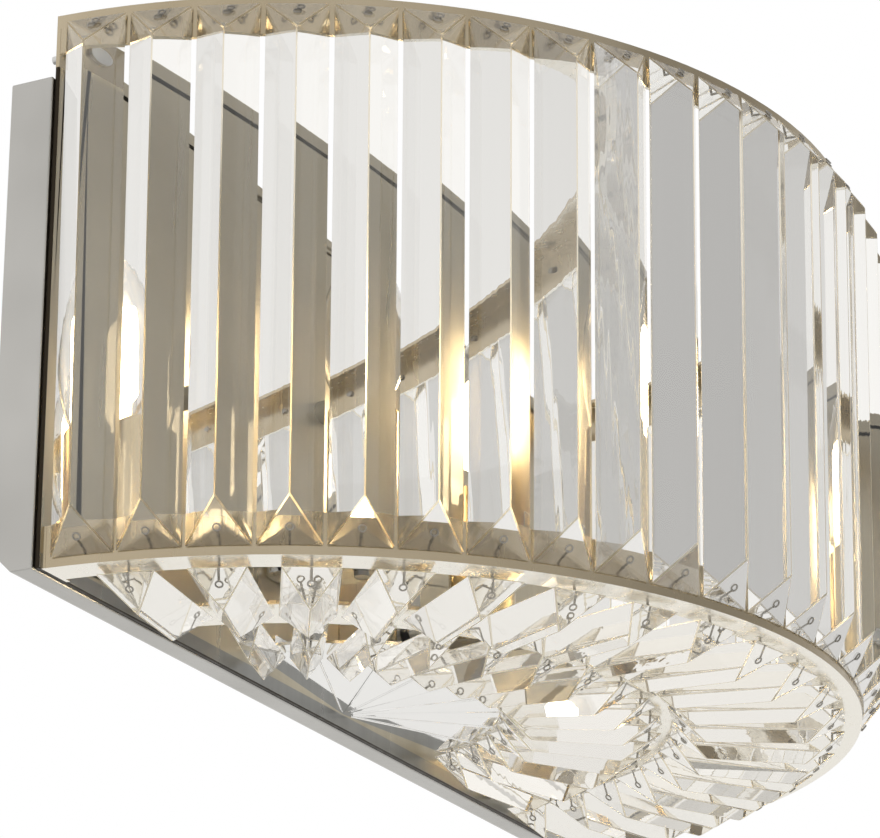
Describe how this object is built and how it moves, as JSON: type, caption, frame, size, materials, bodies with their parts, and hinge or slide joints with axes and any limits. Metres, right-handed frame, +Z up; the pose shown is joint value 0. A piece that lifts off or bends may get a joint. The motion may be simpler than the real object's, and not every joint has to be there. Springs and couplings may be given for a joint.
{
  "type": "crystal wall lamp",
  "caption": "Half-drum wall lamp: upright and radial cut-crystal bars hung on polished nickel hoops before a flat back panel, with screw-in candle bulbs inside an open top.",
  "frame": {"origin": "centre of the wall strap's two screw holes, on the wall surface", "axes": "+X to the right seen from the room along the wall, +Y into the wall, +Z up"},
  "size_m": [0.4618, 0.2337, 0.2184],
  "materials": {
    "crystal": "clear cut crystal, polished facets",
    "polished_nickel": "polished nickel plate with a faint brushing",
    "satin_nickel": "satin warm nickel plate",
    "brushed_nickel": "brushed warm nickel plate",
    "mirror_nickel": "mirror polished",
    "nickel_wire": "drawn wire, plated",
    "zinc_steel": "zinc plated",
    "brass_holder": "satin brass",
    "cap_metal": "plain brass",
    "bulb_glass": "thin clear glass",
    "lit_capsule": "frosted capsule, glowing warm",
    "grommet_rubber": "matte",
    "lead_sheath": "smooth extruded sheath",
    "terminal_plastic": "moulded"
  },
  "bodies": {
    "frame": {"back_panel": "brushed_nickel", "backplate": "polished_nickel", "bottom_hooks": "nickel_wire", "bottom_ring": "satin_nickel", "bracket_studs": "zinc_steel", "center_fan": "mirror_nickel", "dome_nuts": "polished_nickel", "frame_screws": "zinc_steel", "grommets": "grommet_rubber", "inner_row_hooks": "nickel_wire", "inner_row_prisms": "crystal", "internal_leads": "lead_sheath", "lamp_arms": "polished_nickel", "lampholder_1": "brass_holder", "lampholder_2": "brass_holder", "middle_ring": "satin_nickel", "outer_row_hooks": "nickel_wire", "outer_row_prisms": "crystal", "prism_01": "crystal", "prism_02": "crystal", "prism_03": "crystal", "prism_04": "crystal", "prism_05": "crystal", "prism_06": "crystal", "prism_07": "crystal", "prism_08": "crystal", "prism_09": "crystal", "prism_10": "crystal", "prism_11": "crystal", "prism_12": "crystal", "prism_13": "crystal", "prism_14": "crystal", "prism_15": "crystal", "prism_16": "crystal", "prism_17": "crystal", "prism_18": "crystal", "prism_19": "crystal", "prism_20": "crystal", "prism_21": "crystal", "prism_22": "crystal", "prism_23": "crystal", "prism_24": "crystal", "prism_25": "crystal", "prism_26": "crystal", "prism_27": "crystal", "ring_spokes": "polished_nickel", "terminal_block": "terminal_plastic", "top_hooks": "nickel_wire", "top_ring": "satin_nickel", "wall_bracket": "zinc_steel"},
    "bulb_1": {"bulb_cap_1": "cap_metal", "bulb_glass_1": "bulb_glass", "bulb_capsule_1": "lit_capsule"},
    "bulb_2": {"bulb_cap_2": "cap_metal", "bulb_glass_2": "bulb_glass", "bulb_capsule_2": "lit_capsule"}
  },
  "joints": [
    {"name": "bulb_1_screw", "type": "hinge", "parent": "frame", "child": "bulb_1", "pos_m": [-0.052, -0.054, 0.0156], "axis": [0, 0, 1], "range_deg": [0, 1080]},
    {"name": "bulb_2_screw", "type": "hinge", "parent": "frame", "child": "bulb_2", "pos_m": [0.052, -0.054, 0.0156], "axis": [0, 0, 1], "range_deg": [0, 1080]}
  ]
}
